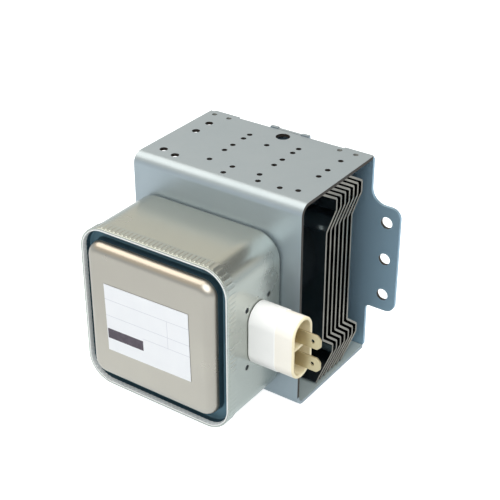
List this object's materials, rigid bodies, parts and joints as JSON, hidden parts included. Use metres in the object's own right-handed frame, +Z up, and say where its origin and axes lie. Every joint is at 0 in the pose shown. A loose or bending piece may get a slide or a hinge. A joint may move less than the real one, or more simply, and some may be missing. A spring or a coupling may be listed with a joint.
{
  "type": "magnetron",
  "caption": "Microwave-oven magnetron: finned vacuum tube in a folded steel yoke, with a drawn filter box, an oval connector with tab terminals and an antenna at the back.",
  "frame": {"origin": "on the underside of the yoke, below the middle of the anode", "axes": "+Z up, +Y along the tube's axis from the filter box to the antenna, +X towards the connector"},
  "size_m": [0.1137, 0.1142, 0.0925],
  "materials": {
    "zinc_plated_steel": "zinc plated, satin",
    "plate_steel": "zinc plated, satin",
    "box_steel": "tin plated, satin",
    "cover_steel": "tin plated, smooth",
    "label_paper": "matt",
    "white_plastic": "moulded, satin",
    "cast_resin": "cast, satin",
    "tinned_brass": "tinned",
    "fin_aluminium": "rolled",
    "copper": "bare copper",
    "ferrite": "pressed and ground, matt",
    "alumina": "fired, matt",
    "stainless": "drawn, satin",
    "refractory_metal": "matt",
    "gasket_mesh": "knitted wire"
  },
  "bodies": {
    "root": {"anode_cylinder": "copper", "antenna_cap": "stainless", "antenna_lead": "copper", "capacitor_core": "cast_resin", "capacitor_flange": "zinc_plated_steel", "capacitor_shell": "white_plastic", "centre_lead": "refractory_metal", "choke_lower": "copper", "choke_upper": "copper", "end_hat_input": "refractory_metal", "end_hat_output": "refractory_metal", "exhaust_tube": "copper", "ferrite_lower": "ferrite", "ferrite_upper": "ferrite", "filament": "refractory_metal", "filter_case": "box_steel", "filter_cover": "cover_steel", "fin_1": "fin_aluminium", "fin_2": "fin_aluminium", "fin_3": "fin_aluminium", "fin_4": "fin_aluminium", "fin_5": "fin_aluminium", "fin_6": "fin_aluminium", "fin_7": "fin_aluminium", "gasket_retainer": "stainless", "label": "label_paper", "magnet_input": "ferrite", "magnet_output": "ferrite", "mounting_plate": "plate_steel", "output_ceramic": "alumina", "output_cylinder": "stainless", "pole_piece_input": "stainless", "pole_piece_output": "stainless", "rf_gasket": "gasket_mesh", "side_lead": "refractory_metal", "stem_ceramic": "alumina", "stem_cylinder": "stainless", "stem_post_left": "tinned_brass", "stem_post_right": "tinned_brass", "strap_inner_input": "copper", "strap_inner_output": "copper", "strap_outer_input": "copper", "strap_outer_output": "copper", "terminal_lower": "tinned_brass", "terminal_upper": "tinned_brass", "vane_01": "copper", "vane_02": "copper", "vane_03": "copper", "vane_04": "copper", "vane_05": "copper", "vane_06": "copper", "vane_07": "copper", "vane_08": "copper", "vane_09": "copper", "vane_10": "copper", "yoke_frame": "zinc_plated_steel"}
  },
  "joints": []
}
